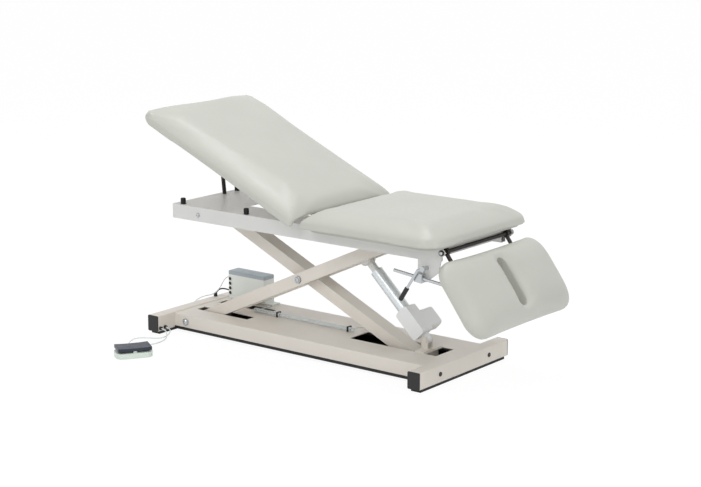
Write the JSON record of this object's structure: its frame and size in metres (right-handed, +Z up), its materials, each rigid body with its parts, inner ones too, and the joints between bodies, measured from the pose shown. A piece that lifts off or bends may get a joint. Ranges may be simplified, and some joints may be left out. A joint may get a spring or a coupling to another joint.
{
  "type": "power treatment table",
  "caption": "Padded treatment table on a scissor lift with an electric actuator, raised backrest on a stay post, slotted drop end with locking rod, foot switch and control box.",
  "frame": {"origin": "centre of the underside of the head floor strip", "axes": "+X from the head end to the drop end, -Y towards the lever side, +Z up"},
  "size_m": [1.7412, 1.0152, 0.9657],
  "materials": {
    "frame_paint": "satin powder coat",
    "rail_paint": "satin powder coat",
    "black_plastic": "matte",
    "black_rubber": "matte",
    "bright_steel": "zinc plated",
    "bronze_bush": "satin",
    "white_plastic": "satin moulded",
    "tube_aluminium": "satin anodised",
    "black_steel": "gloss black",
    "pad_vinyl": "upholstery vinyl over foam",
    "plywood": "raw ply",
    "box_plastic": "textured",
    "lid_plastic": "textured",
    "switch_base": "textured",
    "rocker_plastic": "textured",
    "white_cord": "smooth",
    "black_cord": "smooth"
  },
  "bodies": {
    "base": {"head_cross_tube": "frame_paint", "foot_cross_tube": "frame_paint", "tube_end_caps": "black_plastic", "floor_strips": "black_rubber", "base_pan": "frame_paint", "base_bottom_sheet": "black_rubber", "pan_edge_trim": "black_rubber", "lower_pivot_shaft": "bright_steel", "lower_tracks": "frame_paint", "actuator_foot_mount": "frame_paint", "control_box_body": "box_plastic", "control_box_lid": "lid_plastic", "power_sockets": "black_plastic", "foot_switch_base": "switch_base", "foot_hose_up": "white_cord", "foot_hose_down": "white_cord", "control_cord": "white_cord", "mains_lead": "black_cord", "curly_lead": "white_cord", "lead_grommets": "black_plastic"},
    "leg_outer": {"outer_legs": "frame_paint", "outer_leg_bushes": "bronze_bush", "outer_leg_rollers": "black_plastic", "lift_crossbar": "frame_paint", "centre_pivot_shaft": "bright_steel"},
    "leg_inner": {"inner_leg": "frame_paint", "inner_leg_bushes": "bronze_bush", "inner_leg_rollers": "black_plastic"},
    "top_frame": {"frame_side_rails": "rail_paint", "frame_cross_rails": "rail_paint", "frame_head_plate": "rail_paint", "deck_plate": "rail_paint", "deck_bumpers": "black_rubber", "upper_tracks": "rail_paint", "upper_pivot": "frame_paint", "frame_bolts": "bright_steel", "seat_board": "pad_vinyl", "seat_pad": "pad_vinyl", "backrest_hinge_pin": "frame_paint", "hinge_gussets": "rail_paint", "drop_hinge_rod": "black_steel"},
    "actuator_body": {"actuator_gearbox": "white_plastic", "actuator_motor": "white_plastic", "actuator_tube": "tube_aluminium"},
    "actuator_rod": {"actuator_rod": "white_plastic"},
    "backrest": {"backrest_board": "plywood", "backrest_pad": "pad_vinyl", "backrest_hinge_straps": "frame_paint", "stay_channel": "frame_paint"},
    "stay": {"stay_post": "black_steel"},
    "drop_section": {"drop_pad": "pad_vinyl", "drop_board": "plywood", "drop_hinge_straps": "black_steel", "locking_rod_lug": "frame_paint"},
    "rod_clamp": {"rod_clamp": "bright_steel"},
    "locking_rod": {"locking_rod": "bright_steel"},
    "clamp_lever": {"clamp_lever": "bright_steel", "lever_grip": "black_plastic"},
    "foot_rocker": {"foot_rocker": "rocker_plastic"}
  },
  "joints": [
    {"name": "lift_hinge", "type": "hinge", "parent": "base", "child": "leg_outer", "pos_m": [0.092, 0, 0.045], "axis": [0, -1, 0], "range_deg": [-2.5, 12]},
    {"name": "scissor_cross", "type": "hinge", "parent": "leg_outer", "child": "leg_inner", "pos_m": [0.61984, 0, 0.28778], "axis": [0, -1, 0], "range_deg": [-24, 5]},
    {"name": "frame_level", "type": "hinge", "parent": "leg_inner", "child": "top_frame", "pos_m": [0.092, 0, 0.53056], "axis": [0, -1, 0], "range_deg": [-2.5, 12]},
    {"name": "actuator_swivel", "type": "hinge", "parent": "base", "child": "actuator_body", "pos_m": [1.203, 0, 0.114], "axis": [0, -1, 0], "range_deg": [-6.44, 1.74]},
    {"name": "actuator_slide", "type": "slide", "parent": "actuator_body", "child": "actuator_rod", "axis": [-0.7191, 0, 0.6949], "range_m": [-0.04112, 0.1822]},
    {"name": "backrest_hinge", "type": "hinge", "parent": "top_frame", "child": "backrest", "pos_m": [0.797, 0, 0.562], "axis": [0, 1, 0], "range_deg": [-24, 2]},
    {"name": "stay_slide", "type": "slide", "parent": "top_frame", "child": "stay", "axis": [-0.1011, 0, 0.9949], "range_m": [-0.3616, 0.0338]},
    {"name": "drop_hinge", "type": "hinge", "parent": "top_frame", "child": "drop_section", "pos_m": [1.432, 0, 0.538], "axis": [0, -1, 0], "range_deg": [-24, 53.5]},
    {"name": "clamp_swivel", "type": "hinge", "parent": "top_frame", "child": "rod_clamp", "pos_m": [1.34, -0.247, 0.433], "axis": [0, -1, 0], "range_deg": [-12.02, 26.18]},
    {"name": "locking_rod_slide", "type": "slide", "parent": "rod_clamp", "child": "locking_rod", "axis": [0.9941, 0, -0.1084], "range_m": [-0.04448, 0.09669]},
    {"name": "lever_turn", "type": "hinge", "parent": "top_frame", "child": "clamp_lever", "pos_m": [1.366, -0.2645, 0.473], "axis": [0, -1, 0], "range_deg": [-20, 15]},
    {"name": "rocker_tilt", "type": "hinge", "parent": "base", "child": "foot_rocker", "pos_m": [0.167, -0.592, 0.032], "axis": [-0.8387, 0.5446, 0], "range_deg": [-5, 5], "stiffness_Nm_per_rad": 2}
  ],
  "couplings": [
    {"joint": "scissor_cross", "follows": "lift_hinge", "ratio": -2},
    {"joint": "frame_level", "follows": "lift_hinge", "ratio": 1},
    {"joint": "actuator_swivel", "follows": "lift_hinge", "ratio": -0.495},
    {"joint": "actuator_slide", "follows": "lift_hinge", "m_per_rad": 0.85084},
    {"joint": "stay_slide", "follows": "backrest_hinge", "m_per_rad": 0.8537},
    {"joint": "clamp_swivel", "follows": "drop_hinge", "ratio": 0.48},
    {"joint": "locking_rod_slide", "follows": "drop_hinge", "m_per_rad": 0.10141}
  ]
}
